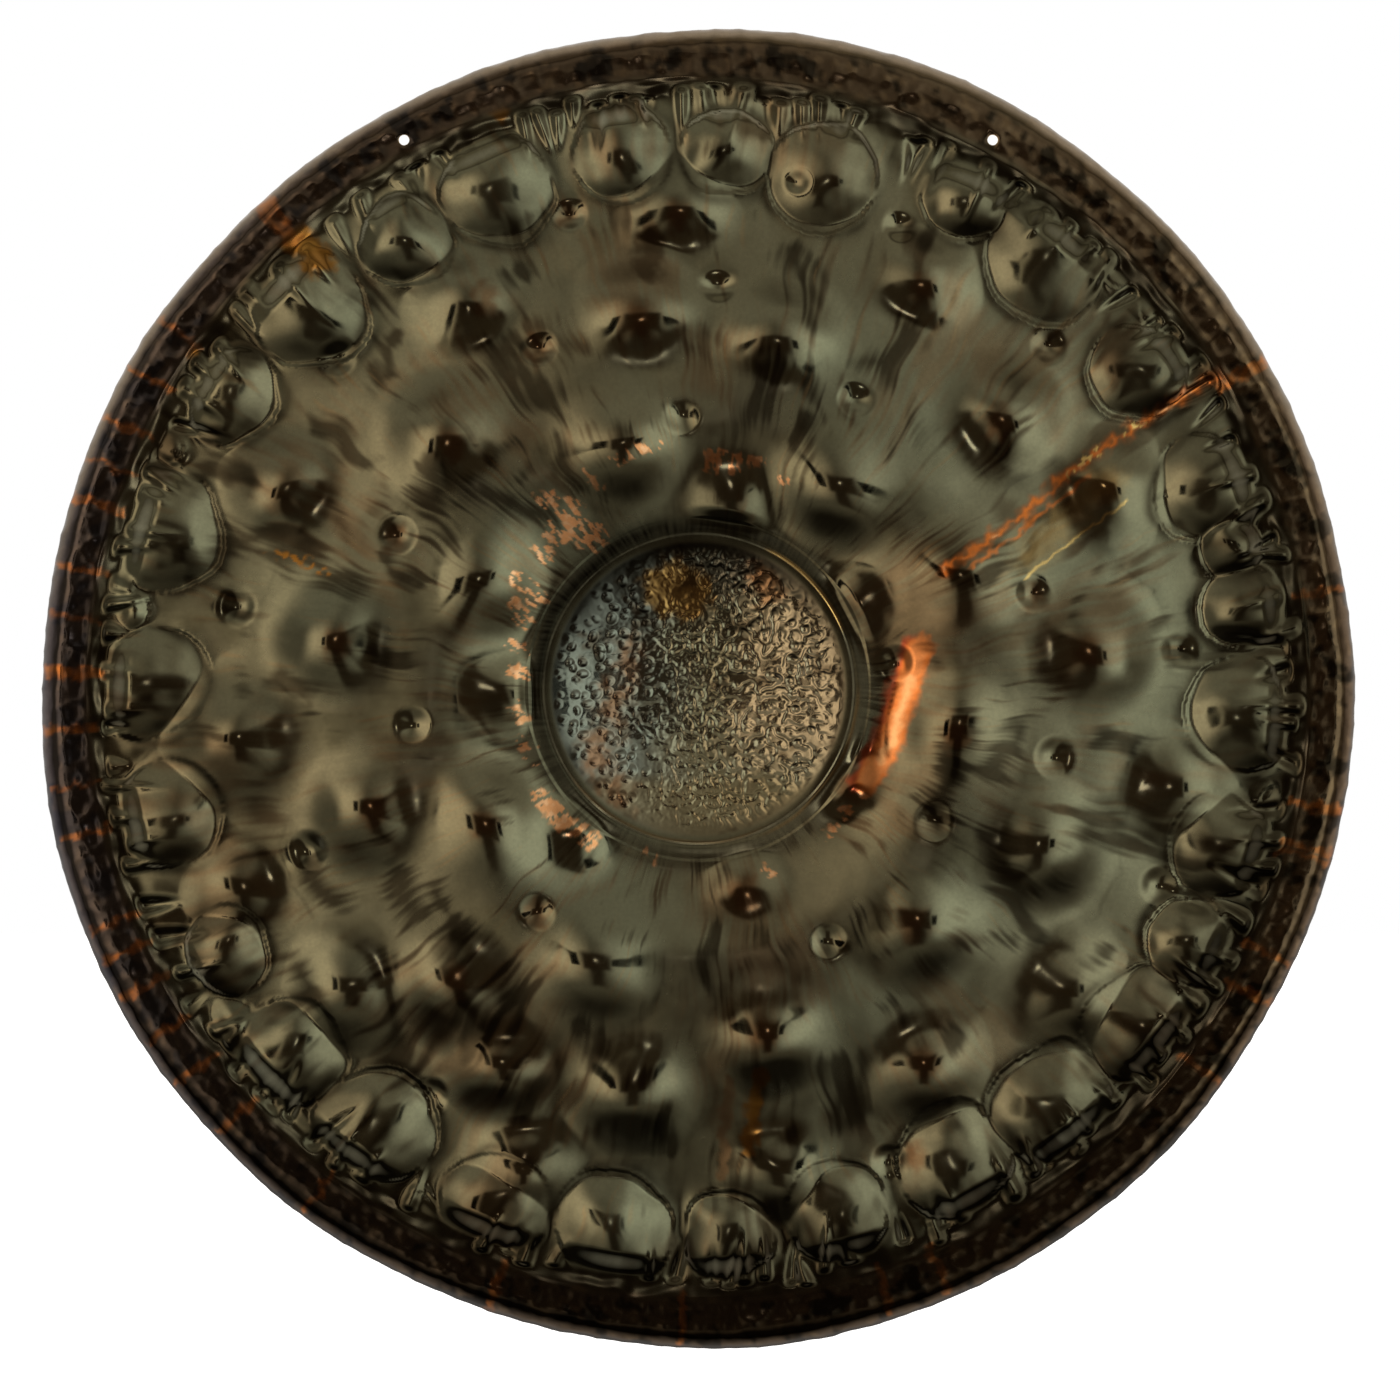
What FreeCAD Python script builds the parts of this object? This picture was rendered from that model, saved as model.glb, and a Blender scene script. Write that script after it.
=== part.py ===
import FreeCAD, Part
import math
import os

from FreeCAD import Vector

os.makedirs("parts", exist_ok=True)

# A tam tam: one sheet of hammered bronze with a dished cup in the middle, a
# crowned face full of hammered domes, a flat band with two hanging holes and a
# rim turned back all round. Units are mm. +Z is up, the striking face looks
# along -Y, and the origin is the middle of the overall box.

# ---- driving dimensions ----
OUTER_RADIUS = 405.0          # over the rim: a 32 inch instrument
SHEET = 2.0                   # thickness of the bronze, measured along Y
RIM_DEPTH = 50.0              # front of the band to the back edge of the rim
RIM_TAPER = 2.0               # how much the rim closes in towards the back
SHOULDER_RADIUS = 14.0        # outside bend between the band and the rim

BAND_INNER_RADIUS = 376.0     # where the face meets the band
CROWN_RADIUS = 364.0          # where the domed face ends in a narrow flat border
BAND_STEP = 0.6               # the band stands this proud of the face
FACE_OVERLAP = 2.5            # how far the face runs under the band

CREST_RADIUS = 167.0          # highest ring of the crowned face
CREST_HEIGHT = 14.0           # crest above the front of the band
FALL_RADIUS = 345.0           # where the crown's fall towards the rim ends
CUP_RADIUS = 91.0             # the pebbled cup
CUP_DEPTH = 11.0              # bottom of the cup below the ledge around it
LEDGE_RADIUS = 105.0          # outside of the flat ledge around the cup
LEDGE_HEIGHT = 6.0            # ledge above the front of the band
GROOVE_RADIUS = 96.0          # fine circle scribed on the ledge
GROOVE_DEPTH = 0.6
GROOVE_TOOL_RADIUS = 1.2

HOLE_RADIUS = 3.25            # hanging holes
HOLE_X = 180.7                # each side of the centre line
HOLE_Z = 337.0

DOME_CURVE = 0.0125           # curvature, per mm, of the hammered domes on the open face
DOME_SPREAD = 1.85            # a dome fades out at this many of its radii
BULGE_HEIGHT = 7.5            # large pillows next to the band
KNOB_HEIGHT = 3.0             # small pillows between them
DENT_DEPTH = 1.6              # small round dents struck from the front
SOFT_EDGE = 2.2               # rounding where a pillow meets the face
ONLOOKER = 5000.0             # each mark is tipped to face the axis this far in front

FRONT_REACH = 19.4            # furthest dome in front of the band
BAND_Y = (FRONT_REACH - RIM_DEPTH) / 2.0

GRID_STEP = 5.0               # spacing of the points that carry the face
GRID_HALF = 390.0

# ---- hammer work: x, z and radius of each mark ----
DOMES = (
    (-13, 290, 27), (-140, 234, 27), (-35, 227, 28), (50, 213, 28), (137, 246, 26),
    (-151, 151, 30), (-48, 150, 27), (85, 125, 28), (184, 163, 29), (-250, 121, 29),
    (-134, 65, 28), (21, 121, 22), (161, 69, 26), (249, 122, 28), (100, 55, 18),
    (-221, 29, 28), (239, 23, 30), (-279, -30, 34), (-199, -75, 29), (-131, -82, 29),
    (-79, -94, 20), (158, -26, 27), (208, -96, 29), (289, -59, 28), (-279, -122, 25),
    (133, -143, 28), (-148, -177, 29), (-62, -167, 28), (29, -126, 20), (-211, -182, 29),
    (224, -184, 29), (-120, -227, 27), (-40, -242, 30), (41, -211, 28), (138, -229, 28),
    (48, -291, 28), (-105, -285, 28), (-124, -3, 22), (94, -60, 16),
)
BULGES = (
    (-47, 328, 31), (17, 328, 29), (76, 314, 34), (-122, 305, 34), (-180, 275, 28),
    (-240, 233, 36), (164, 300, 26), (212, 263, 38), (270, 194, 32), (-285, 180, 30),
    (-328, 97, 37), (-337, 2, 36), (312, 122, 34), (325, 87, 20), (332, 50, 27),
    (330, -17, 34), (-325, -78, 34), (320, -95, 31), (-290, -160, 28), (300, -155, 28),
    (270, -206, 35), (-250, -222, 34), (-198, -268, 38), (-125, -318, 34), (-52, -331, 37),
    (19, -334, 28), (87, -322, 32), (157, -288, 35), (217, -256, 38),
)
KNOBS = (
    (-150, 343, 14), (-283, -208, 19), (-247, -268, 16), (-174, -326, 14), (268, -253, 14),
    (151, -336, 14), (205, -306, 12), (-332, 178, 13), (-332, 152, 12), (262, 256, 12),
    (284, 238, 14), (355, 95, 10), (357, -69, 12), (-353, 68, 11), (-350, 50, 12),
)
DENTS = (
    (-79, 292, 12), (-98, 210, 13), (12, 249, 14), (124, 285, 12), (216, 211, 13),
    (-222, 205, 14), (-185, 95, 14), (-10, 167, 13), (97, 179, 13), (-285, 51, 15),
    (206, 59, 13), (120, 16, 13), (297, 24, 14), (-175, -22, 13), (220, -42, 15),
    (145, -81, 14), (-241, -100, 15), (-99, -137, 13), (80, -155, 13), (284, -121, 14),
    (-165, -250, 13), (118, -290, 13), (61, 312, 10),
)


def ease(value, start, end):
    """0 before start, 1 after end, smooth in between."""
    t = min(max((value - start) / (end - start), 0.0), 1.0)
    return t * t * (3.0 - 2.0 * t)


def crown(radius):
    """Height of the undented sheet above the front of the band."""
    if radius >= CREST_RADIUS:
        fall = ease(radius, CREST_RADIUS, FALL_RADIUS)
        return CREST_HEIGHT - (CREST_HEIGHT + BAND_STEP) * fall
    if radius >= LEDGE_RADIUS:
        climb = ease(radius, LEDGE_RADIUS, CREST_RADIUS)
        return LEDGE_HEIGHT + (CREST_HEIGHT - LEDGE_HEIGHT) * climb
    bowl = LEDGE_HEIGHT - CUP_DEPTH * (1.0 - (radius / CUP_RADIUS) ** 2)
    return min(bowl, LEDGE_HEIGHT)


def tip(cx, cz, dx, dz):
    """Extra height that turns a mark at cx, cz to face the onlooker."""
    radius = math.hypot(cx, cz)
    fall = (crown(radius - 1.0) - crown(radius + 1.0)) / 2.0
    return (fall + radius / ONLOOKER) * (dx * cx + dz * cz) / radius


def cap(distance, radius, height):
    """Height of a shallow pillow, rounded off where it meets the face."""
    rise = height * (1.0 - (distance / radius) ** 2)
    return 0.5 * (rise + math.hypot(rise, SOFT_EDGE))


def open_domes(x, z):
    """Smooth domes of the open face, added together where they overlap."""
    total = 0.0
    for cx, cz, radius in DOMES:
        foot = DOME_SPREAD * radius
        share = 1.0 - ((x - cx) ** 2 + (z - cz) ** 2) / foot ** 2
        if share > 0.0:
            rise = DOME_CURVE * foot ** 2 / 6.0
            total += (rise + tip(cx, cz, x - cx, z - cz)) * share ** 3
    return total


def pillows(x, z):
    """Pillows beside the band, the highest one wins so that they meet in creases."""
    highest = 0.0
    for marks, height in ((BULGES, BULGE_HEIGHT), (KNOBS, KNOB_HEIGHT)):
        for cx, cz, radius in marks:
            distance = math.hypot(x - cx, z - cz)
            if distance < 2.0 * radius:
                rise = cap(distance, radius, height)
                if distance < radius:
                    rise += tip(cx, cz, x - cx, z - cz) * (1.0 - (distance / radius) ** 2)
                highest = max(highest, rise)
    return highest


def dents(x, z):
    """Small round dents struck from the front."""
    total = 0.0
    for cx, cz, radius in DENTS:
        share = 1.0 - ((x - cx) ** 2 + (z - cz) ** 2) / radius ** 2
        if share > 0.0:
            total += (tip(cx, cz, x - cx, z - cz) - DENT_DEPTH) * share ** 2
    return total


def hammer_marks(x, z):
    """All the hammer work: domes and pillows standing out, dents sunk in."""
    domes = open_domes(x, z)
    pillow = pillows(x, z)
    return max(domes, pillow) + 0.3 * min(domes, pillow) + dents(x, z)


def face_height(x, z):
    """Front of the sheet above the band, with hammer marks faded at both edges."""
    radius = math.hypot(x, z)
    inner = ease(radius, LEDGE_RADIUS - 5.0, LEDGE_RADIUS + 8.0)
    outer = 1.0 - ease(radius, CROWN_RADIUS - 16.0, CROWN_RADIUS)
    height = crown(radius)
    if inner * outer > 0.0:
        height += inner * outer * hammer_marks(x, z)
    return height


def hammered_surface():
    """Smooth cubic surface through the whole face, on a square grid."""
    spans = int(round(2.0 * GRID_HALF / GRID_STEP))
    knots = [-GRID_HALF + GRID_STEP * i for i in range(spans + 1)]
    counts = [4] + [1] * (spans - 1) + [4]
    padded = [knots[0]] * 3 + knots + [knots[-1]] * 3
    stations = [sum(padded[i + 1:i + 4]) / 3.0 for i in range(spans + 3)]
    poles = []
    for x in stations:
        poles.append([Vector(x, BAND_Y - face_height(x, z), z) for z in stations])
    surface = Part.BSplineSurface()
    surface.buildFromPolesMultsKnots(poles, counts, counts, knots, knots, False, False, 3, 3)
    return surface


def along_y(radius, start, length):
    """Cylinder on the Y axis."""
    return Part.makeCylinder(radius, length, Vector(0, start, 0), Vector(0, 1, 0))


def make_face():
    """The domed disc with its cup, as a sheet of constant thickness along Y."""
    slab = hammered_surface().toShape().extrude(Vector(0, SHEET, 0))
    return slab.common(along_y(BAND_INNER_RADIUS + FACE_OVERLAP, -100.0, 200.0))


def make_rim():
    """Flat band, rounded shoulder and turned-back rim, revolved as one section."""
    back_y = BAND_Y + RIM_DEPTH
    bend_r = OUTER_RADIUS - SHOULDER_RADIUS
    bend_y = BAND_Y + SHOULDER_RADIUS
    middle = math.radians(45.0)

    def on_bend(radius):
        return Vector(bend_r + radius * math.cos(middle), bend_y - radius * math.sin(middle), 0)

    inner_bend = SHOULDER_RADIUS - SHEET
    band_front = Vector(bend_r, BAND_Y, 0)
    band_back = Vector(bend_r, BAND_Y + SHEET, 0)
    outside = Vector(OUTER_RADIUS, bend_y, 0)
    inside = Vector(OUTER_RADIUS - SHEET, bend_y, 0)
    outside_back = Vector(OUTER_RADIUS - RIM_TAPER, back_y, 0)
    inside_back = Vector(OUTER_RADIUS - RIM_TAPER - SHEET, back_y, 0)
    lip_front = Vector(BAND_INNER_RADIUS, BAND_Y, 0)
    lip_back = Vector(BAND_INNER_RADIUS, BAND_Y + SHEET, 0)
    edges = [
        Part.makeLine(lip_front, band_front),
        Part.Arc(band_front, on_bend(SHOULDER_RADIUS), outside).toShape(),
        Part.makeLine(outside, outside_back),
        Part.makeLine(outside_back, inside_back),
        Part.makeLine(inside_back, inside),
        Part.Arc(inside, on_bend(inner_bend), band_back).toShape(),
        Part.makeLine(band_back, lip_back),
        Part.makeLine(lip_back, lip_front),
    ]
    section = Part.Face(Part.Wire(edges))
    return section.revolve(Vector(0, 0, 0), Vector(0, 1, 0), 360)


def groove_tool():
    """Ring that scribes the fine circle on the ledge around the cup."""
    centre_y = BAND_Y - LEDGE_HEIGHT - GROOVE_TOOL_RADIUS + GROOVE_DEPTH
    return Part.makeTorus(GROOVE_RADIUS, GROOVE_TOOL_RADIUS, Vector(0, centre_y, 0), Vector(0, 1, 0))


def hole_tool(side):
    """Drill for one hanging hole, side -1 for the left and 1 for the right."""
    start = Vector(side * HOLE_X, BAND_Y - 10.0, HOLE_Z)
    return Part.makeCylinder(HOLE_RADIUS, SHEET + 20.0, start, Vector(0, 1, 0))


gong_plate = make_rim().fuse(make_face())
gong_plate = gong_plate.cut(groove_tool())
for side in (-1, 1):
    gong_plate = gong_plate.cut(hole_tool(side))
gong_plate = gong_plate.Solids[0]
gong_plate.exportStep("parts/gong_plate.step")
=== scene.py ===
import math

import bpy
import numpy as np
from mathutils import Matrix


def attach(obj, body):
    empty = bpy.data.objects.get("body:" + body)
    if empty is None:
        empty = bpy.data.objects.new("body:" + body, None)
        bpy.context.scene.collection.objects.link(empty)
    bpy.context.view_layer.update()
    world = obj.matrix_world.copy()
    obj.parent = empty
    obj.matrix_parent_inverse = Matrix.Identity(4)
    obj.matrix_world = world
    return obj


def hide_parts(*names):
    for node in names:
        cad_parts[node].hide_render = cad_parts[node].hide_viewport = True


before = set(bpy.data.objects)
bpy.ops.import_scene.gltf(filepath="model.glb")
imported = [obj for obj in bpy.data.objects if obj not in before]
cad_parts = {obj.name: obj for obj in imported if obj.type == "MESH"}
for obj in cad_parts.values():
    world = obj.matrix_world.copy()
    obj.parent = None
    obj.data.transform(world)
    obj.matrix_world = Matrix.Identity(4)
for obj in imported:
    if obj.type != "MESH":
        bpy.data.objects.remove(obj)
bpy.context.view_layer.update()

# ---------------------------------------------------------------- the CAD design's own dimensions, in mm
OUTER_RADIUS = 405.0
SHEET = 2.0
RIM_DEPTH = 50.0
RIM_TAPER = 2.0
SHOULDER_RADIUS = 14.0
BAND_INNER_RADIUS = 376.0
CROWN_RADIUS = 364.0
BAND_STEP = 0.6
CREST_RADIUS = 167.0
CREST_HEIGHT = 14.0
CUP_RADIUS = 91.0
CUP_DEPTH = 11.0
LEDGE_RADIUS = 105.0
LEDGE_HEIGHT = 6.0
HOLE_RADIUS = 3.25
HOLE_X = 180.7
HOLE_Z = 337.0
DOME_CURVE = 0.0125
DOME_SPREAD = 1.85
FALL_RADIUS = 345.0
VIEWING_DISTANCE = 5000.0
BULGE_HEIGHT = 7.5
KNOB_HEIGHT = 3.0
DENT_DEPTH = 1.6
SOFT_EDGE = 2.2
FRONT_REACH = 19.4
BAND_Y = (FRONT_REACH - RIM_DEPTH) / 2.0
GROOVE_RADIUS = 96.0

# ---------------------------------------------------------------- sizes that only this model has, in mm
FLAT_END = OUTER_RADIUS - SHOULDER_RADIUS       # where the flat band ends and the shoulder starts
OUTER_FLANK = 35.6                              # length of the rim's flank outside, short of its edge
INNER_FLANK = 35.5                              # and inside
EDGE_INSET = 0.5                                # the inside flank starts this far short of the edge
OUTLINE_START = 389.0                           # the uneven outline grows in from this radius
OUTLINE_FULL = 401.0                            # and is at its full size from this one
HOLE_FLARE = 0.45                               # the cord holes open out by this much at both faces
BORE_DEPTHS = (0.35, 1.65)                      # the straight part of a cord hole, below the front
FRONT_CENTRE = (0.378, 0.622)                   # middles and radii of the two round texture maps
BACK_CENTRE = (0.798, 0.202)
FRONT_MAP = 0.372
BACK_MAP = 0.196

DOMES = (
    (-13, 290, 27), (-140, 234, 27), (-35, 227, 28), (50, 213, 28), (137, 246, 26),
    (-151, 151, 30), (-48, 150, 27), (85, 125, 28), (184, 163, 29), (-250, 121, 29),
    (-134, 65, 28), (21, 121, 22), (161, 69, 26), (249, 122, 28), (100, 55, 18),
    (-221, 29, 28), (239, 23, 30), (-279, -30, 34), (-199, -75, 29), (-131, -82, 29),
    (-79, -94, 20), (158, -26, 27), (208, -96, 29), (289, -59, 28), (-279, -122, 25),
    (133, -143, 28), (-148, -177, 29), (-62, -167, 28), (29, -126, 20), (-211, -182, 29),
    (224, -184, 29), (-120, -227, 27), (-40, -242, 30), (41, -211, 28), (138, -229, 28),
    (48, -291, 28), (-105, -285, 28), (-124, -3, 22), (94, -60, 16),
)
BULGES = (
    (-47, 328, 31), (17, 328, 29), (76, 314, 34), (-122, 305, 34), (-180, 275, 28),
    (-240, 233, 36), (164, 300, 26), (212, 263, 38), (270, 194, 32), (-285, 180, 30),
    (-328, 97, 37), (-337, 2, 36), (312, 122, 34), (325, 87, 20), (332, 50, 27),
    (330, -17, 34), (-325, -78, 34), (320, -95, 31), (-290, -160, 28), (300, -155, 28),
    (270, -206, 35), (-250, -222, 34), (-198, -268, 38), (-125, -318, 34), (-52, -331, 37),
    (19, -334, 28), (87, -322, 32), (157, -288, 35), (217, -256, 38),
)
KNOBS = (
    (-150, 343, 14), (-283, -208, 19), (-247, -268, 16), (-174, -326, 14), (268, -253, 14),
    (151, -336, 14), (205, -306, 12), (-332, 178, 13), (-332, 152, 12), (262, 256, 12),
    (284, 238, 14), (355, 95, 10), (357, -69, 12), (-353, 68, 11), (-350, 50, 12),
)
DENTS = (
    (-79, 292, 12), (-98, 210, 13), (12, 249, 14), (124, 285, 12), (216, 211, 13),
    (-222, 205, 14), (-185, 95, 14), (-10, 167, 13), (97, 179, 13), (-285, 51, 15),
    (206, 59, 13), (120, 16, 13), (297, 24, 14), (-175, -22, 13), (220, -42, 15),
    (145, -81, 14), (-241, -100, 15), (-99, -137, 13), (80, -155, 13), (284, -121, 14),
    (-165, -250, 13), (118, -290, 13), (61, 312, 10),
)

rng = np.random.default_rng(41)


# ---------------------------------------------------------------- small maths
def ease(v, start, end):
    t = np.clip((v - start) / (end - start), 0.0, 1.0)
    return t * t * (3 - 2 * t)


def noise(x, z, size, seed):
    """Smooth gradient noise about -1..1, with features about `size` mm across."""
    table = np.random.default_rng(seed).uniform(0, 2 * math.pi, (256, 256))
    u, v = x / size, z / size
    iu, iv = np.floor(u).astype(int), np.floor(v).astype(int)
    fu, fv = u - iu, v - iv
    su = fu * fu * fu * (fu * (6 * fu - 15) + 10)
    sv = fv * fv * fv * (fv * (6 * fv - 15) + 10)

    def corner(a, b):
        g = table[(iu + a) % 256, (iv + b) % 256]
        return np.cos(g) * (fu - a) + np.sin(g) * (fv - b)

    low = corner(0, 0) * (1 - su) + corner(1, 0) * su
    high = corner(0, 1) * (1 - su) + corner(1, 1) * su
    return (low * (1 - sv) + high * sv) * 1.5


def facets(u, v, size, around, seed):
    """Distance squared to the nearest hammer blow, 0..about 1, repeating every `around` cells in u."""
    r = np.random.default_rng(seed)
    rows = 400
    ju, jv, jh = r.uniform(0.12, 0.88, (3, around, rows))
    cu, cv = u / size, v / size + 100
    iu, iv = np.floor(cu).astype(int), np.floor(cv).astype(int)
    best = np.full(u.shape, 9.0)
    for a in (-1, 0, 1):
        for b in (-1, 0, 1):
            k, m = (iu + a) % around, (iv + b) % rows
            d = (iu + a + ju[k, m] - cu) ** 2 + (iv + b + jv[k, m] - cv) ** 2
            best = np.minimum(best, d * 0.9 + 0.18 * jh[k, m])
    return best


# ---------------------------------------------------------------- the strike face, height in mm towards -Y
def crown(r):
    """The sheet's own form before any hammering: the crown, the ledge and the cup."""
    outer = -BAND_STEP + (CREST_HEIGHT + BAND_STEP) * (1 - ease(r, CREST_RADIUS, FALL_RADIUS))
    shoulder = LEDGE_HEIGHT + (CREST_HEIGHT - LEDGE_HEIGHT) * ease(r, LEDGE_RADIUS, CREST_RADIUS)
    bowl = CUP_DEPTH * (1 - (r / CUP_RADIUS) ** 2)
    cup = LEDGE_HEIGHT - 0.5 * (bowl + np.hypot(bowl, 2.2))
    h = np.where(r >= CROWN_RADIUS, -BAND_STEP, outer)
    h = np.where(r < CREST_RADIUS, shoulder, h)
    return np.where(r < LEDGE_RADIUS, cup, h)


def cap(d, radius, height):
    """A round pillow with a softened foot, `d` mm from its middle."""
    rise = height * (1 - (d / radius) ** 2)
    return 0.5 * (rise + np.hypot(rise, SOFT_EDGE))


def lean_of(mx, mz):
    """How far the crown's own slope and the onlooker's place would tip a mark away from the onlooker."""
    r = math.hypot(mx, mz)
    fall = float(crown(np.array([r - 1.0]))[0] - crown(np.array([r + 1.0]))[0]) / 2.0
    return (fall + r / VIEWING_DISTANCE) / r


def hammer_marks(x, z):
    wx = x + 1.8 * noise(x, z, 34, 3)
    wz = z + 1.8 * noise(x, z, 34, 4)
    domes = np.zeros_like(x)
    for mx, mz, a in DOMES:
        foot = DOME_SPREAD * a
        near = (np.abs(x - mx) < foot + 4) & (np.abs(z - mz) < foot + 4)
        dx, dz = wx[near] - mx, wz[near] - mz
        d = np.minimum(np.hypot(dx, dz) / foot, 1)
        lean = lean_of(mx, mz) * (dx * mx + dz * mz)
        domes[near] += (DOME_CURVE * foot * foot / 6 + lean) * (1 - d * d) ** 3
    wx = wx + 5.0 * noise(x, z, 48, 5) + 1.1 * noise(x, z, 17, 7)
    wz = wz + 5.0 * noise(x, z, 48, 6) + 1.1 * noise(x, z, 17, 8)
    raised = np.zeros_like(x)
    for marks, height in ((BULGES, BULGE_HEIGHT), (KNOBS, KNOB_HEIGHT)):
        for mx, mz, a in marks:
            near = (np.abs(x - mx) < 2.2 * a) & (np.abs(z - mz) < 2.2 * a)
            dx, dz = wx[near] - mx, wz[near] - mz
            d = np.hypot(dx, dz)
            lean = lean_of(mx, mz) * (dx * mx + dz * mz) * np.clip(1 - (d / (2 * a)) ** 2, 0, 1)
            pillow = np.where(d < 2 * a, cap(d, a, height) + lean * (d < a), 0)
            raised[near] = np.maximum(raised[near], pillow)
    raised = np.maximum(raised, domes) + 0.3 * np.minimum(raised, domes)
    for mx, mz, a in DENTS:
        near = (np.abs(x - mx) < a) & (np.abs(z - mz) < a)
        dx, dz = x[near] - mx, z[near] - mz
        d = np.minimum(np.hypot(dx, dz) / a, 1)
        raised[near] += (lean_of(mx, mz) * (dx * mx + dz * mz) - DENT_DEPTH) * (1 - d * d) ** 2
    return raised


# the flutes beside the band: their x along the top and the bottom, and chance spacing at the sides
PUCKER_RADIUS = 358.0
PUCKER_X_TOP = (
    -105, -97, -85, -75, -60, -48, -38, -32, -10, 2, 8, 28, 40, 50, 62, 72, 85, 95, 130, 137, 150,
)
PUCKER_X_BOTTOM = (
    -175, -130, -115, -105, -88, -30, -15, 8, 18, 27, 40, 55, 65, 75, 92, 125, 143, 150, 160, 205,
)


def pucker_angles():
    found = [math.atan2(math.sqrt(PUCKER_RADIUS ** 2 - x * x), x) for x in PUCKER_X_TOP]
    found += [-math.atan2(math.sqrt(PUCKER_RADIUS ** 2 - x * x), x) for x in PUCKER_X_BOTTOM]
    for low, high in ((-58, 62), (116, 236)):
        a = low
        while a < high:
            found.append(math.radians(a))
            a += rng.uniform(1.5, 4.2)
    return found


def one_pucker(angle):
    """Angle, inner end, outer end, half width, height and slant of one flute."""
    inner_end = rng.uniform(324, 350)
    outer_end = rng.uniform(364, 374)
    width = rng.uniform(3.0, 5.4)
    height = rng.uniform(1.2, 2.9) * rng.choice((-1, 1), p=(0.4, 0.6))
    return angle, inner_end, outer_end, width, height, rng.uniform(-0.3, 0.3)


PUCKERS = [one_pucker(angle) for angle in pucker_angles()]


def puckers(x, z):
    """Flutes where the sheet gathers beside the band: blunt outside, drawn out to a point inside."""
    r, th = np.hypot(x, z), np.arctan2(z, x)
    total = np.zeros_like(x)
    for angle, inner_end, outer_end, width, height, lean in PUCKERS:
        side = (th - angle + math.pi) % (2 * math.pi) - math.pi
        near = (np.abs(side) < 0.07) & (r > inner_end) & (r < outer_end)
        t = (r[near] - inner_end) / (outer_end - inner_end)
        s = side[near] * r[near] + lean * (r[near] - outer_end)
        along = ease(t, 0, 0.75) * (1 - ease(t, 0.86, 1.0))
        total[near] += height * along * np.exp(-(s / (width * (0.4 + 0.6 * t))) ** 2)
    return total


def pebbles(x, z):
    """The cup's blisters on the left, fine grain in the middle and pitted ridges on the right."""
    fade = 1 - ease(np.hypot(x, z), 79, 90)
    amount = np.clip(0.85 + 0.5 * noise(x, z, 34, 23), 0.3, 1.3)
    wx, wz = x + 1.6 * noise(x, z, 11, 30), z + 1.6 * noise(x, z, 11, 31)
    big = facets(wx + 1000, wz, 7.6, 300, 24)
    small = facets(wx + 1000, wz, 3.4, 690, 25)
    knob = np.clip(1 - big / 0.21, 0, 1)
    worm = np.abs(noise(wx, wz, 11, 27) + 0.4 * noise(x, z, 5, 28))
    across = x + 20 * noise(x, z, 34, 29)
    left, right = 1 - ease(across, -40, -12), ease(across, 8, 34)
    grain = 0.34 * np.clip(1 - small / 0.3, 0, 1) + 0.5 * (1 - ease(worm, 0.0, 0.3))
    ridges = 0.55 * (1 - ease(worm, 0.0, 0.42))
    rise = left * (0.85 * knob + 0.12 * grain) + right * (ridges - 0.95 * knob + 0.1 * grain)
    rise = rise + (1 - left - right) * grain
    smooth = 1 - 0.75 * np.exp(-((x + 11) / 20) ** 2 - ((z - 60) / 15) ** 2)
    return rise * fade * amount * smooth + 0.5 * noise(x, z, 22, 26) * fade


def face_height(x, z):
    r = np.hypot(x, z)
    inner = ease(r, 100, 113)
    outer = 1 - ease(r, 348, 364)
    h = crown(r) + inner * outer * hammer_marks(x, z)
    free = inner * (1 - 0.75 * ease(r, 356, 374)) * (1 - ease(r, 374, BAND_INNER_RADIUS))
    h = h + free * (1.3 * noise(x, z, 70, 11) + 0.26 * noise(x, z, 30, 12) + 0.035 * noise(x, z, 10, 13))
    h = h + puckers(x, z) * (1 - ease(r, 371, BAND_INNER_RADIUS))
    h = h + BAND_STEP * ease(r + 3.5 * noise(x, z, 18, 15), 364, 375.5) * (r > 360)
    h = h + pebbles(x, z)
    return h - 0.12 * np.exp(-((r - GROOVE_RADIUS - 0.4 * noise(x, z, 60, 14)) / 0.9) ** 2)


def rim_noise(th, s):
    """Planishing facets of the band, shoulder and flank, `s` mm along the section from the band's start."""
    u = (th % (2 * math.pi)) / (2 * math.pi)
    big = facets(u * 212 * 12.0, s, 12.0, 212, 31)
    small = facets(u * 364 * 7.0, s, 7.0, 364, 32)
    return 1.15 * (big - 0.35) + 0.45 * (small - 0.35)


def outline(th):
    """How far the uneven outline leaves a true circle, in mm."""
    return (1.4 * np.cos(2 * th - 2.3) + 1.3 * np.cos(3 * th - 3.6) + 0.8 * np.cos(5 * th + 0.5)
            + 0.5 * np.cos(9 * th + 1.0) + 0.35 * np.cos(17 * th))


# ---------------------------------------------------------------- the watertight sheet
N_RIM = 1536
rings = []      # from the middle of the front, out over the rim, and back to the middle of the back


def ring(count, x, y, z, uv_r, on_back):
    rings.append({"n": count, "x": x, "y": y, "z": z, "uv": uv_r, "back": on_back})


def angles(count):
    return np.arange(count) * (2 * math.pi / count)


def ring_size(r, most, shortest):
    """Points in a ring: `most`, halved until they stand `shortest` mm apart or more."""
    n = most
    while n > 24 and 2 * math.pi * r / n < shortest:
        n //= 2
    return n


def face_rings(sizes, middle_y, on_back):
    """The rings across the hammered face, from their (radius, number of points)."""
    x = np.concatenate([r * np.cos(angles(n)) for r, n in sizes])
    z = np.concatenate([r * np.sin(angles(n)) for r, n in sizes])
    y = middle_y - face_height(x, z)
    at = 0
    for r, n in sizes:
        part = slice(at, at + n)
        ring(n, x[part], y[part], z[part], 0 if on_back else r, on_back)
        at += n


def rim_ring(r, y, uv_r, on_back):
    """A full ring of the band or rim: `r` and `y` are numbers or one value for each point."""
    ring(N_RIM, r * np.cos(th), y + 0 * th, r * np.sin(th), uv_r, on_back)


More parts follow.
